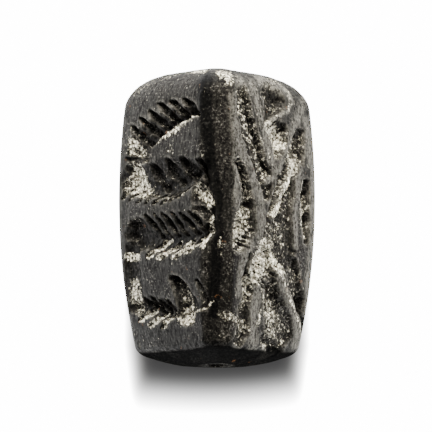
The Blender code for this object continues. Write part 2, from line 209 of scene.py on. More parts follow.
# Colours of the stone, of what clings to it, of its painted highlight and painted light, and of its painted
# shade
STONE_DARK = (0.0014, 0.0013, 0.0012, 1.0)
STONE_GREY = (0.0092, 0.0089, 0.0077, 1.0)
STONE_PALE = (0.045, 0.042, 0.037, 1.0)
STONE_WEAR_AND_HIGHLIGHT = (0.075, 0.0715, 0.062, 1.0)
SPECK_COLOUR = (0.2, 0.195, 0.18, 1.0)
DEPOSIT_GREY = (0.0125, 0.0125, 0.0095, 1.0)
CREAM_DEPOSIT_AND_LIGHT = (0.84, 0.79, 0.63, 1.0)
DEEP_SHADE = (0.0009, 0.00095, 0.001, 1.0)
RUST_COLOUR = (0.28, 0.13, 0.05, 1.0)

# Its finish: a dull body under a thin polish
POLISHED_ROUGHNESS = 0.34
BODY_ROUGHNESS = 0.75
BODY_SPECULAR = 0.0
SHEEN = 0.1
POLISH_IOR = 1.42
BUMP_STRENGTH = 0.9
BUMP_HEIGHT = 0.0001

# Its patterns: (lumps per metre, detail, roughness), and how much two of them are drawn out along the stone
STREAKS = (4800.0, 4.0, 0.65)
CLOUDS = (420.0, 3.0, 0.6)
GRAINS = (4200.0, 3.0, 0.7)
FINE_GRAINS = (9000.0, 1.0, 0.5)
SPECKS = (4200.0, 4.0, 0.7)
DUST = (3700.0, 3.0, 0.75)
CRUMBS = (2600.0, 2.0, 0.6)
HOLES = (4400.0, 2.0, 0.6)
RUST = (900.0, 1.0, 0.5)
STREAK_STRETCH = (1.0, 0.22, 1.0)
CRUMB_STRETCH = (1.0, 0.7, 1.0)

# Where each pattern sets in and where it is full
STREAK_RANGE = (0.32, 0.68)
WEAR_AND_HIGHLIGHT_RANGE = (0.54, 0.84)
PALE_RANGE = (0.68, 0.88)
SPECK_RANGE = (0.64, 0.84)
DUST_RANGE = (0.4, 0.68)
COVER_RANGE = (0.3, 0.9)
HOLE_RANGE = (0.42, 0.58)
RUST_RANGE = (0.73, 0.77)
RUST_GRAIN_RANGE = (0.45, 0.6)
GLOSS_STREAK_RANGE = (0.3, 0.7)
GLOSS_GRAIN_RANGE = (0.35, 0.65)
DEEP_RANGE = (0.24, 0.8)

# How strongly each one shows
PALE_AMOUNT = 0.6
SPECK_AMOUNT = 0.3
RUST_AMOUNT = 0.12
SHADE_AMOUNT = 0.95
SHADE_LOST_TO_DEPOSIT = 0.75
GLOSS_LOST_TO_DEPOSIT = 0.8
COVER_START = -0.07
COVER_CLOUDS = 0.8
COVER_GRAINS = 2.0
HOLE_COVER = 0.2

# The studio: a pale floor that glows, a broad light beyond the head and two low ones at the sides
AIM = (-0.0001, 0.0, 0.007)
CAMERA_ELEVATION = 81.0
CAMERA_DISTANCE = 0.4
LENS = 333.3
FLOOR_HALF = 1.0
FLOOR_GRAIN_PER_METRE = 4000.0
FLOOR_ROUGHNESS = 0.9
FLOOR_GLOW = 15.0
FLOOR_SHADED = (0.0032, 0.0032, 0.0032, 1.0)
FLOOR_LOW = (0.05, 0.05, 0.05, 1.0)
FLOOR_HIGH = (0.055, 0.055, 0.055, 1.0)
WHITE = (1.0, 1.0, 1.0, 1.0)
LIGHT_COLOUR = (1.0, 0.955, 0.86)
WORLD_STRENGTH = 0.7
SOFT_BOXES = (
    ("light_beyond_head", (0.0, 0.6, 0.34), (0.6, 0.2), 50.0),
    ("light_left", (-0.45, 0.5, 0.3), (0.3, 0.3), 2.0),
    ("light_right", (0.45, 0.5, 0.3), (0.3, 0.3), 3.0),
)

# The soft shadow on the floor under the foot: where it starts and ends beyond the middle, how fast it fades,
# how wide it is, and how it bows and narrows on its way out
SHADOW_START = 0.0122
SHADOW_END = 0.0191
SHADOW_FALL = 7.0
SHADOW_HALF_WIDTH = 0.0094
SHADOW_SIDE_FALL = 24.0
SHADOW_BOW = 9.0
SHADOW_MIDDLE = -0.0012
SHADOW_NARROWING = 0.1

# How far hand cutting strays from the drawn lines, in sheet units, at the size of the wander
WANDERS = ((0.0013, 1.9), (0.0006, 0.6))
WANDER_SHIFTS = (7.3, 21.9)

# Fine relief on the stone: (size of the lumps, height, where in the noise it is taken from)
TOOL_MARKS = (0.00042, 0.00011, 3.1)
GRAIN_PITS = (0.00026, 0.0001, 11.7)
EDGE_CHIPS = (0.0009, 0.00022, 5.5)
SURFACE_LUMPS = (0.0024, 0.000045, 1.7)
PIT_START = 0.1
PIT_REACH = 0.6
CHIP_START = 0.05
PITS_OUTSIDE_CUTS = 0.12
RIDGE_AND_HEAD_CHIPS = 0.6
RIDGE_SHARE_OF_HEIGHT = 0.8
RIDGE_EDGE_REACH = 0.0005
FOOT_EDGE_REACH = 0.0006
HEAD_EDGE_REACH = 0.0012
RIDGE_BAND_HALF_WIDTH = 0.0019

# Depths that count as full and as shallow, and how hollows are told from the ground round them
FULL_DEPTH = 0.0005
SHALLOW_DEPTH = 0.0003
HOLLOW_SCALE = 0.00022
BLUR_REACHES = (5, 3)

# Which way the stone faces: (where a share of the normal starts to count, how far on it counts in full)
CARVED_FACING = (0.02, 0.22)
BASE_FACING = (0.9, 0.08)
FOOT_FACING = (0.6, 0.25)
UPPER_FACING = (0.3, 0.3)
RIDGE_FACING = (0.7, 0.2)
OFF_HEAD_FACING = (-1.0, 0.15)
LIT_GAIN = 1.6
UNDERCUT_FACING = -0.2

# Painted shade in slots, creases, channels, hollows and on the foot's end face, and what light and deposit
# take from it
SLOT_SHADE = 0.5
SLOT_WALL_SHARE = 0.7
CREASE_SHADE = 0.55
CHANNEL_SHADE = 0.5
LEFT_HOLLOW_SHADE = 0.5
RIGHT_HOLLOW_SHADE = 0.05
HOLLOW_SHADE_MOST = 0.9
FOOT_SHADE = 0.98
SHADE_LOST_TO_LIGHT = 0.7
SHADE_LOST_TO_PATCHES = 0.75

# Painted shade on the left face, darker towards the foot, away from the light: from a place along the sheet,
# over a distance
LOW_SHADE = 0.5
LOW_SHADE_START = 20
LOW_SHADE_REACH = 160

# Painted shade on the ridge's up-facing band, standing in for the dark overhead it reflects, as (how dark,
# stroke)
RIDGE_SHADES = (
    (0.95, ((-12, 150, 11), (-11, 100, 11), (-7, 56, 10), (0, 18, 9))),
    (0.95, ((0, 18, 9), (1, -20, 9), (-2, -64, 11), (-3, -96, 9))),
    (0.5, ((-3, -96, 9), (-4, -135, 12))),
    (0.42, ((4, 150, 14), (4, 60, 14), (6, 0, 14), (9, -60, 16), (9, -96, 15))),
)

# How much pale a cut holds: deposit on each face, painted light on ground the light reaches, deposit in
# nicks, taken off the foot's face to keep its painted shade, in the cord hole, and what painted shade takes
# from it
DEPOSIT_LEFT = 0.05
DEPOSIT_RIGHT = 0.26
PALE_PAINTED_ON_LIT_GROUND = 0.3
DEPOSIT_IN_NICKS = 0.9
DEPOSIT_OFF_FOOT = 0.5
DEPOSIT_IN_HOLE = 0.2
DEPOSIT_LOST_TO_SHADE = 0.9
PATCH_LOST_TO_SHADE = 0.5

# What each place takes from the polish, and the polish left in the cord hole
POLISH_LOST_ON_RIGHT = 0.3
POLISH_LOST_ON_FOOT = 0.97
POLISH_LOST_ON_RIDGE = 0.95
POLISH_LOST_IN_CUTS = 0.35
HOLE_POLISH = 0.1

# How pale the wear on the bars is, and how strong the painted highlight on the lips of the cuts is
BAR_WEAR = 0.7
BAR_WALL_SHARE = 0.9
LIP_GAIN = 0.9
LEFT_LIP_HIGHLIGHT = 0.5

# Where the right face's loop holds neither pale deposit nor painted light of its own
BARE_STROKES = (
    ((54, 124, 9), (60, 112, 12), (57, 102, 9)),
)

# Pale deposit, and painted light on walls that face the light, in streaks and patches, (strength, stroke),
# apart from what the cuts hold
DEPOSIT_AND_LIGHT_STREAKS = (
    (1.35, ((-84, 48, 9), (-84, 32, 17), (-78, 26, 12))),
    (1.3, ((-87, 76, 5), (-84, 66, 10))),
    (1.7, ((-19, 28, 7), (-13, 20, 12), (-8, 13, 9))),
    (0.8, ((-5, -2, 5), (-5, -14, 6))),
    (1.2, ((-33, -93, 7), (-33, -103, 9))),
    (1.0, ((-86, -66, 7), (-84, -86, 9))),
    (0.6, ((-82, -94, 8), (-76, -100, 6))),
    (1.1, ((-21, -94, 2.5), (-11, -89, 3), (-4, -83, 3))),
    (1.6, ((-90, -41, 7), (-83, -42, 7))),
    (0.6, ((-42, -60, 4), (-38, -72, 6), (-34, -86, 7))),
    (1.4, ((-52, -24, 2.5), (-68, -40, 4))),
    (1.4, ((-42, -25, 2.5), (-58, -42, 4))),
    (1.4, ((-33, -26, 2.5), (-44, -41, 4))),
    (1.4, ((-18, -22, 2.5), (-29, -35, 4))),
    (1.4, ((-5, -9, 4), (-14, -29, 4))),
    (1.6, ((-67, -97, 3), (-76, -105, 4.5))),
    (1.6, ((-56, -99, 3), (-66, -109, 4.5))),
    (1.6, ((-46, -95, 3), (-53, -110, 4))),
    (0.85, ((-22, 102, 4), (-36, 90, 7), (-50, 82, 7), (-66, 72, 4))),
    (1.0, ((-22, 145, 5), (-10, 146, 5))),
    (0.5, ((-46, 74, 4), (-46, 66, 5))),
    (0.35, ((-84, 126, 7), (-60, 139, 7), (-30, 146, 6))),
    (1.1, ((4, 143, 8), (12, 136, 10))),
    (0.5, ((50, 140, 2.5), (62, 134, 2.5), (72, 124, 2.5), (75, 114, 3.5), (70, 105, 3.5), (54, 94, 3))),
    (1.5, ((53, 90, 8), (62, 82, 12), (64, 72, 9))),
    (0.35, ((56, 126, 12), (60, 112, 13))),
    (0.8, ((81, 76, 9), (79, 56, 9))),
    (1.5, ((79, 52, 6), (72, 34, 6), (66, 18, 6), (58, 2, 6))),
    (0.45, ((27, 124, 9), (30, 104, 10), (37, 84, 12), (47, 50, 10), (50, 28, 8))),
    (1.3, ((30, 4, 9), (25, -12, 13), (20, -26, 7))),
    (1.7, ((52, -28, 11), (48, -42, 16), (37, -60, 11))),
    (1.4, ((50, -28, 6), (58, -40, 7), (64, -56, 6))),
    (0.7, ((28, -58, 5), (32, -70, 7), (28, -90, 6))),
    (0.4, ((60, 0, 14), (62, -24, 16))),
    (0.7, ((22, 58, 4), (27, 38, 7), (33, 18, 7))),
    (0.6, ((58, -88, 11), (60, -114, 17))),
    (0.7, ((46, -128, 8), (58, -134, 9))),
    (0.55, ((58, -70, 8), (58, -88, 11))),
    (0.8, ((46, -68, 1.8), (45, -84, 2), (40, -108, 2))),
    (0.8, ((66, -62, 2), (73, -82, 2.2), (82, -106, 2.2), (85, -118, 2))),
    (0.8, ((91, 14, 5), (91, 4, 5))),
    (0.6, ((87, 32, 6), (87, -12, 6))),
    (0.4, ((80, -60, 7), (84, -96, 5))),
    (0.8, ((3, -95, 5), (14, -99, 6), (27, -104, 6), (30, -112, 5))),
    (0.6, ((2, -22, 4), (4, -38, 5))),
    (0.7, ((-17, 57, 1.5), (-9, 38, 1.8), (-7, 18, 1.8), (-5, -12, 1.8))),
    (0.5, ((-30, 144, 5), (-18, 145, 5))),
)


def smooth(share):
    """Rises softly from 0 to 1 as share goes from 0 to 1."""
    share = np.clip(share, 0.0, 1.0)
    return share * share * (3.0 - 2.0 * share)


def risen(value, start_and_reach):
    """Rises softly from 0 to 1 as a value goes from a start over a reach."""
    start, reach = start_and_reach
    return smooth((value - start) / reach)


def rounded_outline(corners, radii):
    """The points of a convex outline whose corners are arcs of the given radii."""
    points = []
    for index, corner in enumerate(corners):
        corner = Vector(corner)
        back = (Vector(corners[index - 1]) - corner).normalized()
        ahead = (Vector(corners[(index + 1) % len(corners)]) - corner).normalized()
        half_angle = back.angle(ahead) / 2
        radius = radii[index]
        middle = corner + (back + ahead).normalized() * (radius / math.sin(half_angle))
        first = corner + back * (radius / math.tan(half_angle)) - middle
        turn = math.pi - 2 * half_angle
        start = math.atan2(first.y, first.x)
        for step in range(CORNER_STEPS + 1):
            angle = start + turn * step / CORNER_STEPS
            points.append(middle + Vector((math.cos(angle), math.sin(angle))) * radius)
    return np.array(points)


def section():
    """The widest cross-section, as points (across, up) round it, closest together on the carved faces."""
    base_corner = WIDTH / 2 + BASE_CORNER_RADIUS * (1 / math.tan(BASE_CORNER_HALF_ANGLE) - 1)
    ridge_corner = RIDGE_FLAT / 2
    outward = Vector((HEIGHT, base_corner - ridge_corner)).normalized()
    bulge = Vector(((base_corner + ridge_corner) / 2, HEIGHT / 2)) + outward * FACE_BULGE
    corners = [
        (-base_corner, 0.0),
        (base_corner, 0.0),
        (bulge.x, bulge.y),
        (ridge_corner, HEIGHT),
        (-ridge_corner, HEIGHT),
        (-bulge.x, bulge.y),
    ]
    radii = [
        BASE_CORNER_RADIUS,
        BASE_CORNER_RADIUS,
        FACE_RADIUS,
        RIDGE_CORNER_RADIUS,
        RIDGE_CORNER_RADIUS,
        FACE_RADIUS,
    ]
    points = rounded_outline(corners, radii)
    points *= (WIDTH / 2 / points[:, 0].max(), HEIGHT / points[:, 1].max())
    closed = np.vstack([points, points[:1]])
    fine = np.linspace(0, 1, 4001)
    run = np.concatenate([[0.0], np.cumsum(np.hypot(*np.diff(closed, axis=0).T))])
    fine_points = np.stack([np.interp(fine * run[-1], run, closed[:, k]) for k in (0, 1)], axis=1)
    weight = BASE_COLUMN_SHARE + (1 - BASE_COLUMN_SHARE) * smooth(fine_points[:, 1] / BASE_CORNER_RADIUS)
    load = np.concatenate([[0.0], np.cumsum((weight[1:] + weight[:-1]) / 2)])
    stops = np.linspace(0.0, load[-1], COLUMNS, endpoint=False)
    return np.stack([np.interp(stops, load, fine_points[:, k]) for k in (0, 1)], axis=1)


def ring(outline, share, along):
    """One row of the side: the section at its place along the stone, drawn in to a share of its size."""
    from_widest = ((along - WIDEST_AT) / (LENGTH / 2)) ** 2
    across = outline[:, 0] * (1 - SIDE_TAPER_SHARE * from_widest) * share
    sideways = across / (WIDTH / 2)
    reach = along / (LENGTH / 2)
    narrowed = 1 - RIDGE_TAPER_SHARE * from_widest - HEAD_WEAR_SHARE * max(reach, 0.0) ** 6
    up = HOLE_HEIGHT + (outline[:, 1] * narrowed - HOLE_HEIGHT) * share
    bow = HEAD_BOW if along > 0 else -FOOT_BOW
    lean = HEAD_LEAN * np.clip((up - HOLE_HEIGHT) / (HEIGHT - HOLE_HEIGHT), 0, 1)
    bowed = along - bow * reach**2 * sideways**2 - (lean + HEAD_SKEW * sideways) * max(reach, 0.0) ** 4
    return np.stack([across, bowed, up], axis=1)


def end_rows(outline, end, dome, rounding):
    """The rows of one end, from the hole's mouth out to the side. end is 1 at the head, -1 at the foot."""
    mean_radius = math.sqrt(WIDTH * HEIGHT / 2 / math.pi)
    inset = rounding / mean_radius
    rim = ring(outline, 1 - inset, end * (LENGTH / 2 - dome))
    away = rim[:, (0, 2)] - (0.0, HOLE_HEIGHT)
    mouth = away / np.hypot(*away.T)[:, None] * HOLE_MOUTH_RADIUS + (0.0, HOLE_HEIGHT)
    rows = []
    for step in range(END_FACE_ROWS):
        share = step / END_FACE_ROWS
        flat = mouth + (rim[:, (0, 2)] - mouth) * share
        along = end * LENGTH / 2 + (rim[:, 1] - end * LENGTH / 2) * share**2
        rows.append(np.stack([flat[:, 0], along, flat[:, 1]], axis=1))
    for step in range(ROUNDING_ROWS + 1):
        angle = math.pi / 2 * step / ROUNDING_ROWS
        share = 1 - inset + inset * math.sin(angle)
        rows.append(ring(outline, share, end * (LENGTH / 2 - dome - rounding * (1 - math.cos(angle)))))
    return rows


def hole_rows(outline):
    """The wall of the cord hole from just inside the head to just inside the foot."""
    angles = np.arctan2(outline[:, 1] - HOLE_HEIGHT, outline[:, 0])
    rows = []
    for step in range(1, HOLE_ROWS + 1):
        along = LENGTH / 2 * (1 - 2 * step / (HOLE_ROWS + 1))
        radius = HOLE_WAIST_RADIUS + (HOLE_MOUTH_RADIUS - HOLE_WAIST_RADIUS) * abs(along) / (LENGTH / 2)
        wall = (np.cos(angles) * radius, np.full(COLUMNS, along), HOLE_HEIGHT + np.sin(angles) * radius)
        rows.append(np.stack(wall, axis=1))
    return rows


def plain_stone():
    """The uncarved stone as a grid of points closed both ways: rows along it and back through the hole."""
    outline = section()
    foot = end_rows(outline, -1, FOOT_DOME, FOOT_ROUNDING)
    head = end_rows(outline, 1, HEAD_DOME, HEAD_ROUNDING)
    first, last = -LENGTH / 2 + FOOT_DOME + FOOT_ROUNDING, LENGTH / 2 - HEAD_DOME - HEAD_ROUNDING
    side = [ring(outline, 1.0, along) for along in np.linspace(first, last, BODY_ROWS)[1:-1]]
    return np.array(foot + side + head[::-1] + hole_rows(outline))


def outward_normals(grid):
    """Unit normals of a grid closed both ways."""
    along = np.roll(grid, -1, axis=0) - np.roll(grid, 1, axis=0)
    around = np.roll(grid, -1, axis=1) - np.roll(grid, 1, axis=1)
    normals = np.cross(along, around)
    return normals / np.linalg.norm(normals, axis=2, keepdims=True)


def nearness(stroke, across, along):
    """How far inside a stroke each point lies: 1 on its middle line, 0 on its edge, less outside."""
    nearest = np.full(across.shape, np.inf)
    for (a0, b0, r0), (a1, b1, r1) in zip(stroke, stroke[1:]):
        run_a, run_b = a1 - a0, b1 - b0
        share = np.clip(((across - a0) * run_a + (along - b0) * run_b) / (run_a**2 + run_b**2), 0, 1)
        distance = np.hypot(across - a0 - run_a * share, along - b0 - run_b * share)
        nearest = np.minimum(nearest, distance / (r0 + (r1 - r0) * share))
    return 1 - nearest


def deepest(strokes, across, along, depth, wall):
    """The depth of several strokes together: crisp at the lip, rounded into the floor."""
    cut = np.zeros(across.shape)
    for stroke in strokes:
        inside = np.clip(nearness(stroke, across, along) / wall, 0, 1)
        cut = np.maximum(cut, depth * inside * (2 - inside))
    return cut


def comb_strokes(comb):
    """The strokes of a comb, evenly spaced along its line, thin at both tips."""
    line, (tip_a, tip_b), half_width, count = comb
    line = np.array(line, dtype=float)
    run = np.concatenate([[0.0], np.cumsum(np.hypot(*np.diff(line, axis=0).T))])
    strokes = []
    for stop in np.linspace(0.0, run[-1], count):
        a, b = (np.interp(stop, run, line[:, k]) for k in (0, 1))
        tip = half_width * STROKE_TIP_SHARE
        strokes.append(((a - tip_a, b - tip_b, tip), (a, b, half_width), (a + tip_a, b + tip_b, tip)))
    return strokes


def left_face_cut(across, along):
    """The depth of the winding channel, its trough and pockets, combs and nicks."""
    cut = deepest(CHANNELS, across, along, CHANNEL_DEPTH, ROUND_WALL_SHARE)
    cut += deepest(TROUGHS, across, along, TROUGH_DEPTH, ROUND_WALL_SHARE)
    cut = np.maximum(cut, deepest(POCKETS, across, along, POCKET_DEPTH, ROUND_WALL_SHARE))
    cut += deepest(LEFT_CREASES, across, along, CREASE_DEPTH, ROUND_WALL_SHARE)
    for comb in COMBS:
        cut += deepest(comb_strokes(comb), across, along, COMB_DEPTH, ROUND_WALL_SHARE)
    for nick in NICKS:
        cut += deepest(comb_strokes(nick), across, along, NICK_DEPTH, ROUND_WALL_SHARE)
    return cut


def within(strokes, across, along):
    """How far inside the nearest of several strokes each point lies, as nearness gives it for one."""
    return np.maximum.reduce([nearness(stroke, across, along) for stroke in strokes])


def shaded(across, along):
    """How much painted shade falls inside the slots, creases and channels at each point, from 0 to 1."""
    strokes = [stroke for comb in COMBS for stroke in comb_strokes(comb)]
    slots = deepest(strokes + list(LEFT_CREASES), across, along, SLOT_SHADE, SLOT_WALL_SHARE)
    creases = deepest(CREASES, across, along, CREASE_SHADE, 1.0)
    channels = smooth(within(CHANNELS, across, along) * 1.5 + 0.4) * CHANNEL_SHADE * (across < 0)
    return np.maximum.reduce([slots, creases, channels])


def toothed(across, along):
    """How far inside the pale nicks each point lies, from 0 to 1."""
    strokes = [stroke for nick in NICKS for stroke in comb_strokes(nick)]
    return smooth(within(strokes, across, along) * 1.2 + 0.35)


def right_face_cut(across, along):
    """The depth of the sunk field, less the bars that stand in it, and of its hollows and creases."""
    cut = deepest(FIELDS, across, along, FIELD_DEPTH, STEEP_WALL_SHARE)
    cut += deepest(HOLLOWS, across, along, HOLLOW_DEPTH, ROUND_WALL_SHARE)
    cut *= 1 - smooth(deepest(BARS, across, along, 1.0, ROUND_WALL_SHARE))
    for nick in RIGHT_NICKS:
        cut += deepest(comb_strokes(nick), across, along, RIGHT_NICK_DEPTH, ROUND_WALL_SHARE)
    return cut + deepest(CREASES, across, along, CREASE_DEPTH, ROUND_WALL_SHARE)


def base_face_cut(grid):
    """The depth of the two rows of slanted strokes on the base face."""
    strokes = []
    for side in (-1, 1):
        for index in range(BASE_STROKES):
            share = 2 * index / (BASE_STROKES - 1) - 1
            x, y = side * BASE_ROW_AT_SHARE * WIDTH / 2, share * BASE_ROW_REACH_SHARE * LENGTH / 2
            half = BASE_STROKE_LENGTH / 2
            slant = BASE_STROKE_SLANT_SHARE * half
            width = BASE_STROKE_HALF_WIDTH
            strokes.append(((x - half, y - side * slant, width), (x + half, y + side * slant, width)))
    return deepest(strokes, grid[..., 0], grid[..., 1], BASE_STROKE_DEPTH, ROUND_WALL_SHARE)


def lumps(grid, size, shift):
    """Noise from about -1 to 1 at each point, in lumps of a size."""
    places = (grid.reshape(-1, 3) / size + shift).tolist()
    return np.array([noise.noise(place) for place in places]).reshape(grid.shape[:2])


def blurred(values):
    """Values averaged over the points nearby, along the stone and then round it."""
    for axis, reach in enumerate(BLUR_REACHES):
        values = sum(np.roll(values, step, axis=axis) for step in range(-reach, reach + 1)) / (2 * reach + 1)
    return values


def sheet_places(grid):
    """Where each point lies on the sheet, strayed as a hand strays from a drawing."""
    sheet_up = np.array([0.0, math.cos(SHEET_LEAN), math.sin(SHEET_LEAN)])
    across = grid[..., 0] * (UNITS_ACROSS / WIDTH)
    along = (grid - (0.0, 0.0, SHEET_HEIGHT)) @ sheet_up * (UNITS_ALONG / LENGTH)
    across_shift, along_shift = WANDER_SHIFTS
    for size, reach in WANDERS:
        across = across + lumps(grid, size, across_shift) * reach
        along = along + lumps(grid, size, along_shift) * reach
    return across, along


def near_edges(grid):
    """How close each point lies to the edges that chip: the ridge's two, the foot's rim and the head's."""
    off_ridge = (np.abs(grid[..., 0]) - RIDGE_FLAT / 2) / RIDGE_EDGE_REACH
    off_foot = (grid[..., 1] + LENGTH / 2 - FOOT_DOME) / FOOT_EDGE_REACH
    off_head = (grid[..., 1] - LENGTH / 2 + HEAD_EDGE_REACH) / HEAD_EDGE_REACH
    ridge = np.exp(-(off_ridge**2)) * (grid[..., 2] > HEIGHT * RIDGE_SHARE_OF_HEIGHT)
    foot, head = np.exp(-(off_foot**2)), np.exp(-(off_head**2))
    return np.clip(ridge * RIDGE_AND_HEAD_CHIPS + foot + head * RIDGE_AND_HEAD_CHIPS, 0, 1)


def with_fine_relief(cut, grid, in_cut, on_base):
    """The cut's depth with tool marks, pits, chipped edges and the stone's own unevenness."""
    size, height, shift = TOOL_MARKS
    cut = cut + height * in_cut * lumps(grid, size, shift)
    size, height, shift = GRAIN_PITS
    pits = np.clip(lumps(grid, size, shift) - PIT_START, 0, 1) / PIT_REACH
    cut += height * pits * (PITS_OUTSIDE_CUTS + in_cut) * (1 - on_base)
    size, height, shift = EDGE_CHIPS
    cut += height * near_edges(grid) * np.clip(lumps(grid, size, shift) - CHIP_START, 0, 1) * (1 - on_base)
    size, height, shift = SURFACE_LUMPS
    return cut + height * (0.5 + 0.5 * lumps(grid, size, shift)) * (1 - on_base)


def deposit_and_light_patches(normals, across, along):
    """The pale patches and streaks of deposit and painted light, kept off the underside and off the head's
    end face.
    """
    patches = np.zeros(across.shape)
    room = (normals[..., 2] > UNDERCUT_FACING) * risen(-normals[..., 1], OFF_HEAD_FACING)
    for strength, stroke in DEPOSIT_AND_LIGHT_STREAKS:
        patches = np.maximum(patches, smooth(nearness(stroke, across, along) * 1.3) * strength * room)
    return patches


def carved_stone():
    """The carved grid, and what is kept on its points: depth, deposit with painted light, polish, painted
    shade, and wear with painted highlight.
    """
    grid = plain_stone()
    normals = outward_normals(grid)
    across, along = sheet_places(grid)
    toward_sheet = np.array([0.0, -math.sin(SHEET_LEAN), math.cos(SHEET_LEAN)])
    facing = risen(normals @ toward_sheet, CARVED_FACING)
    on_left = grid[..., 0] < 0
    cut = np.where(on_left, left_face_cut(across, along), right_face_cut(across, along)) * facing
    in_cut = smooth(cut / SHALLOW_DEPTH)
    on_base = risen(-normals[..., 2], BASE_FACING)
    cut = with_fine_relief(cut, grid, in_cut, on_base)
    cut += base_face_cut(grid) * on_base
    cut[-HOLE_ROWS:] = 0.0
    carved = grid - normals * cut[..., None]

    # The light comes from beyond the head, so ground that leans that way is lit
    right = across > 0
    lit = np.clip(outward_normals(carved)[..., 1] * LIT_GAIN, -0.5, 1)
    # Painted shade in the hollows, slots and creases, lighter where the ground faces the light
    hollow = (cut - blurred(cut)) / HOLLOW_SCALE * facing
    hollow_shade = smooth(hollow * np.where(right, RIGHT_HOLLOW_SHADE, LEFT_HOLLOW_SHADE)) * HOLLOW_SHADE_MOST
    dark = np.maximum(shaded(across, along), hollow_shade)
    dark = dark * facing * (1 - SHADE_LOST_TO_LIGHT * np.clip(lit, 0, 1))

    # Pale deposit in the cuts, with painted light added on ground that faces the light and less in painted
    # shade
    deposit_and_light_held = np.clip(DEPOSIT_LEFT + PALE_PAINTED_ON_LIT_GROUND * lit + (DEPOSIT_RIGHT + PALE_PAINTED_ON_LIT_GROUND * lit) * right, 0, 1)
    deposit_and_light = smooth(cut / FULL_DEPTH) * deposit_and_light_held * (1 - DEPOSIT_LOST_TO_SHADE * dark)
    deposit_and_light *= 1 - smooth(within(BARE_STROKES, across, along) * 2)
    deposit_and_light = np.maximum(deposit_and_light, toothed(across, along) * facing * DEPOSIT_IN_NICKS)
    patches = deposit_and_light_patches(normals, across, along)
    dark = dark * (1 - SHADE_LOST_TO_PATCHES * np.clip(patches, 0, 1))
    deposit_and_light = np.maximum(deposit_and_light, patches * (1 - PATCH_LOST_TO_SHADE * dark))
    # The foot's end face, turned away from the light, loses its pale and gets painted shade below
    foot_face = risen(-normals[..., 1], FOOT_FACING)
    deposit_and_light = deposit_and_light - foot_face * DEPOSIT_OFF_FOOT
    deposit_and_light[-HOLE_ROWS:] = DEPOSIT_IN_HOLE

    ridge_band = smooth((RIDGE_BAND_HALF_WIDTH - np.abs(grid[..., 0])) / RIDGE_EDGE_REACH)
    ridge_band = ridge_band * risen(normals[..., 2], RIDGE_FACING)
    polish = 1 - POLISH_LOST_ON_RIGHT * right - POLISH_LOST_ON_FOOT * foot_face
    polish = polish - POLISH_LOST_ON_RIDGE * ridge_band * (1 - foot_face)
    polish = np.clip(polish - POLISH_LOST_IN_CUTS * in_cut * facing * (1 - foot_face), 0, 1)
    polish[-HOLE_ROWS:] = HOLE_POLISH

    shade = np.maximum(dark, foot_face * FOOT_SHADE)
    ridge_top = risen(normals[..., 2], UPPER_FACING)
    for strength, stroke in RIDGE_SHADES:
        shade = np.maximum(shade, smooth(nearness(stroke, across, along) * 1.6) * ridge_top * strength)
    low = np.clip((LOW_SHADE_START - along) / LOW_SHADE_REACH, 0, 1)
    shade = np.clip(np.maximum(shade, LOW_SHADE * low * (across < 0)), 0, 1)
    shade[-HOLE_ROWS:] = 1.0

    # Painted highlight on the raised lips of the cuts, and paler wear on the bars
    lips = smooth(-hollow * LIP_GAIN) * np.where(right, 1.0, LEFT_LIP_HIGHLIGHT)
    bars = smooth(deepest(BARS, across, along, BAR_WEAR, BAR_WALL_SHARE)) * facing
    wear_and_highlight = np.maximum(bars, lips) * (1 - dark)
    depth = cut / FULL_DEPTH
    return carved, {"cut_depth": depth, "deposit_and_light": deposit_and_light, "polish": polish, "shade": shade, "wear_and_highlight": wear_and_highlight}


class Value:
    """A node's output that can be used in sums."""

    def __init__(self, tree, socket):
        self.tree = tree
        self.socket = socket

    def maths(self, operation, first, second):
        return self.tree.add("ShaderNodeMath", {"operation": operation}, {0: first, 1: second})

    def __add__(self, other):
        return self.maths("ADD", self, other)

    def __radd__(self, other):
        return self.maths("ADD", other, self)

    def __sub__(self, other):
        return self.maths("SUBTRACT", self, other)

    def __rsub__(self, other):
        return self.maths("SUBTRACT", other, self)

    def __mul__(self, other):
        return self.maths("MULTIPLY", self, other)

    def __rmul__(self, other):
        return self.maths("MULTIPLY", other, self)


class Nodes:
    """A material's node tree."""

    def __init__(self, material):
        material.use_nodes = True
        self.nodes = material.node_tree.nodes
        self.links = material.node_tree.links
        self.shader = self.nodes["Principled BSDF"]

    def add(self, kind, settings=None, inputs=None, output=0):
        """A new node of a type, with its settings and its sockets' values or links."""
        node = self.nodes.new(kind)
        for name, value in (settings or {}).items():
            setattr(node, name, value)
        for name, value in (inputs or {}).items():
            self.feed(node.inputs[name], value)
        return Value(self, node.outputs[output])

    def feed(self, socket, value):
        """Links or sets one socket."""
        if isinstance(value, Value):
            self.links.new(value.socket, socket)
        else:
            socket.default_value = value

    def blend(self, share, first, second):
        """A colour from first to second as share goes from 0 to 1."""
        return self.add("ShaderNodeMix", {"data_type": "RGBA"}, {"Factor": share, 6: first, 7: second}, 2)

    def step(self, value, low, high):
        """Rises softly from 0 to 1 as a value goes from low to high."""
        settings = {"interpolation_type": "SMOOTHSTEP"}
        inputs = {"Value": value, "From Min": low, "From Max": high}
        return self.add("ShaderNodeMapRange", settings, inputs)

    def ramp(self, value, low, high):
        """Rises evenly from 0 to 1 as a value goes from low to high."""
        return self.add("ShaderNodeMapRange", {}, {"Value": value, "From Min": low, "From Max": high})

    def power(self, value, exponent):
        return self.add("ShaderNodeMath", {"operation": "POWER"}, {0: value, 1: exponent})

    def noise(self, place, per_metre, detail=2.0, roughness=0.5):
        inputs = {"Vector": place, "Scale": per_metre, "Detail": detail, "Roughness": roughness}
        return self.add("ShaderNodeTexNoise", {}, inputs)

    def stretched(self, place, factors):
        return self.add("ShaderNodeVectorMath", {"operation": "MULTIPLY"}, {0: place, 1: factors})

    def attribute(self, name):
        return self.add("ShaderNodeAttribute", {"attribute_name": name}, {}, "Fac")

    def bump(self, height, strength, distance):
        inputs = {"Height": height, "Strength": strength, "Distance": distance}
        return self.add("ShaderNodeBump", {}, inputs)


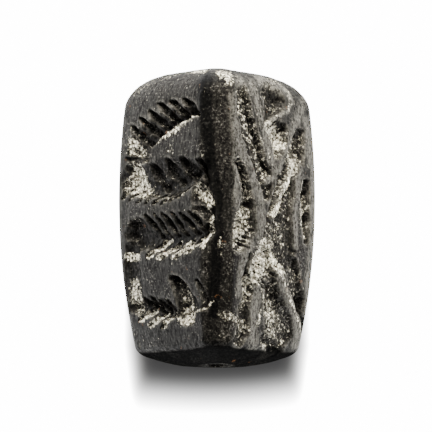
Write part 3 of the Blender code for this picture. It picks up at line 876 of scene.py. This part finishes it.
def stone_material():
    """Black stone: half polished outside, rough and pale with deposit and painted light in the cuts, painted
    shade in its hollows, with light grains.
    """
    material = bpy.data.materials.new("carved_black_stone")
    look = Nodes(material)
    place = look.add("ShaderNodeTexCoord", output="Object")
    drawn_out = look.stretched(place, STREAK_STRETCH)
    streaks = look.noise(drawn_out, *STREAKS)
    clouds = look.noise(place, *CLOUDS)
    grains = look.noise(place, *GRAINS)
    fine_grains = look.noise(place, *FINE_GRAINS)
    specks = look.noise(place, *SPECKS)
    dust = look.noise(place, *DUST)
    crumbs = look.noise(look.stretched(place, CRUMB_STRETCH), *CRUMBS)
    deposit_and_light = look.attribute("deposit_and_light")
    polish = look.attribute("polish")
    roughness = 1.0 - polish

    stone = look.blend(look.step(streaks, *STREAK_RANGE), STONE_DARK, STONE_GREY)
    wear_and_highlight_grain = look.step(streaks * 0.6 + dust * 0.8, *WEAR_AND_HIGHLIGHT_RANGE)
    # Paler wear on the bars and painted highlight on the lips of the cuts
    stone = look.blend(look.attribute("wear_and_highlight") * wear_and_highlight_grain, stone, STONE_WEAR_AND_HIGHLIGHT)
    pale = look.step(grains + clouds * 0.3 + roughness * 0.07, *PALE_RANGE)
    stone = look.blend(pale * PALE_AMOUNT, stone, STONE_PALE)
    speck = look.step(specks + (clouds - 0.5) * 0.6 + roughness * 0.05, *SPECK_RANGE)
    stone = look.blend(speck * SPECK_AMOUNT, stone, SPECK_COLOUR)

    # Pale deposit with painted light, broken into grains
    dusty = look.step(dust + deposit_and_light * 0.04, *DUST_RANGE)
    deposit_and_light_colour = look.blend(dusty * dusty, DEPOSIT_GREY, CREAM_DEPOSIT_AND_LIGHT)
    covered = deposit_and_light + COVER_START + (clouds - 0.5) * COVER_CLOUDS
    covered = covered + (grains - 0.5) * COVER_GRAINS + (crumbs - 0.5) * COVER_GRAINS
    holes = look.step(look.noise(drawn_out, *HOLES), *HOLE_RANGE)
    mask = look.step(covered, *COVER_RANGE) * (HOLE_COVER + holes * (1 - HOLE_COVER))
    colour = look.blend(mask, stone, deposit_and_light_colour)
    # Painted shade: darkens the colour in slots, creases, hollows, on the ridge band, on the foot's end face
    # and low on the left face
    shade = look.attribute("shade") * (SHADE_AMOUNT - mask * SHADE_LOST_TO_DEPOSIT)
    colour = look.blend(shade, colour, DEEP_SHADE)
    rust = look.step(look.noise(place, *RUST), *RUST_RANGE) * look.step(grains, *RUST_GRAIN_RANGE)
    colour = look.blend(rust * RUST_AMOUNT, colour, RUST_COLOUR)
    look.feed(look.shader.inputs["Base Color"], colour)

    gloss_streaks = look.step(streaks, *GLOSS_STREAK_RANGE) * 0.6
    gloss_grains = look.step(grains, *GLOSS_GRAIN_RANGE) * 0.3
    gloss = polish * (0.05 + gloss_streaks + gloss_grains) * (1 - mask * GLOSS_LOST_TO_DEPOSIT) * SHEEN
    look.feed(look.shader.inputs["Coat Weight"], gloss)
    deep = look.step(look.attribute("cut_depth"), *DEEP_RANGE)
    relief = grains * (0.6 + deep) + streaks * 0.6 + fine_grains * (0.4 + deep * 0.5)
    look.feed(look.shader.inputs["Normal"], look.bump(relief, BUMP_STRENGTH, BUMP_HEIGHT))
    look.shader.inputs["Roughness"].default_value = BODY_ROUGHNESS
    look.shader.inputs["Specular IOR Level"].default_value = BODY_SPECULAR
    look.shader.inputs["Coat Roughness"].default_value = POLISHED_ROUGHNESS
    look.shader.inputs["Coat IOR"].default_value = POLISH_IOR
    return material


def seal_piece():
    """The carved stone as one closed mesh, with the values for its colours kept on its points."""
    grid, marks = carved_stone()
    rows, columns = grid.shape[:2]
    index = np.arange(rows * columns).reshape(rows, columns)
    below, beside = np.roll(index, -1, axis=0), np.roll(index, -1, axis=1)
    faces = np.stack([index, below, np.roll(below, -1, axis=1), beside], axis=2).reshape(-1, 4)
    mesh = bpy.data.meshes.new("carved_seal")
    mesh.from_pydata(grid.reshape(-1, 3).tolist(), [], faces.tolist())
    for name, values in marks.items():
        attribute = mesh.attributes.new(name, "FLOAT", "POINT")
        attribute.data.foreach_set("value", values.ravel().astype(np.float32))
    mesh.materials.append(stone_material())
    mesh.shade_smooth()
    piece = bpy.data.objects.new("carved_seal", mesh)
    bpy.context.scene.collection.objects.link(piece)
    return piece


def floor_material():
    """Pale matt paper whose glow fades into a soft shadow under the foot."""
    material = bpy.data.materials.new("pale_paper")
    look = Nodes(material)
    place = look.add("ShaderNodeTexCoord", output="Object")
    tone = look.blend(look.noise(place, FLOOR_GRAIN_PER_METRE), FLOOR_LOW, FLOOR_HIGH)
    look.feed(look.shader.inputs["Base Color"], tone)
    look.shader.inputs["Roughness"].default_value = FLOOR_ROUGHNESS
    look.shader.inputs["Specular IOR Level"].default_value = 0.0
    sideways = look.add("ShaderNodeSeparateXYZ", {}, {0: place}, "X")
    along = look.add("ShaderNodeSeparateXYZ", {}, {0: place}, "Y")
    narrowing = 1.0 + look.ramp(along * -1.0, SHADOW_START, SHADOW_END) * SHADOW_NARROWING
    across = sideways * narrowing * (1.0 / SHADOW_HALF_WIDTH)
    beside = look.add("ShaderNodeMath", {"operation": "ABSOLUTE"}, {0: across})
    beside = look.power(beside, SHADOW_SIDE_FALL)
    from_middle = sideways - SHADOW_MIDDLE
    bowed = from_middle * from_middle * SHADOW_BOW - along
    beyond_foot = look.power(look.ramp(bowed, SHADOW_START, SHADOW_END), SHADOW_FALL)
    beyond_head = look.step(along, 0.0, SHADOW_START)
    lit = look.ramp(beside + beyond_foot + beyond_head, 0.0, 1.0)
    look.feed(look.shader.inputs["Emission Color"], look.blend(lit, FLOOR_SHADED, WHITE))
    look.shader.inputs["Emission Strength"].default_value = FLOOR_GLOW
    return material


def floor():
    shape = bmesh.new()
    corners = [(-1, -1), (1, -1), (1, 1), (-1, 1)]
    shape.faces.new([shape.verts.new((x * FLOOR_HALF, y * FLOOR_HALF, 0.0)) for x, y in corners])
    mesh = bpy.data.meshes.new("floor")
    shape.to_mesh(mesh)
    shape.free()
    mesh.materials.append(floor_material())
    plane = bpy.data.objects.new("floor", mesh)
    bpy.context.scene.collection.objects.link(plane)
    return plane


def turned_to(thing, target):
    """Points a camera or a light at a place."""
    thing.rotation_euler = (Vector(target) - thing.location).to_track_quat("-Z", "Y").to_euler()


def soft_box(name, place, size, power):
    light = bpy.data.lights.new(name, "AREA")
    light.shape = "RECTANGLE"
    light.size, light.size_y = size
    light.energy = power
    light.color = LIGHT_COLOUR
    box = bpy.data.objects.new(name, light)
    bpy.context.scene.collection.objects.link(box)
    box.location = place
    turned_to(box, AIM)


def camera():
    data = bpy.data.cameras.new("camera")
    data.sensor_width = 36.0
    data.lens = LENS
    data.clip_end = 10.0
    eye = bpy.data.objects.new("camera", data)
    bpy.context.scene.collection.objects.link(eye)
    lean = math.radians(90.0 - CAMERA_ELEVATION)
    eye.location = Vector(AIM) + Vector((0.0, -math.sin(lean), math.cos(lean))) * CAMERA_DISTANCE
    turned_to(eye, AIM)
    bpy.context.scene.camera = eye


def surroundings():
    world = bpy.data.worlds.new("studio")
    world.use_nodes = True
    background = world.node_tree.nodes["Background"]
    background.inputs["Color"].default_value = WHITE
    background.inputs["Strength"].default_value = WORLD_STRENGTH
    bpy.context.scene.world = world


piece = seal_piece()
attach(piece, "root")
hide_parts("seal")
floor()
for name, place, size, power in SOFT_BOXES:
    soft_box(name, place, size, power)
surroundings()
camera()
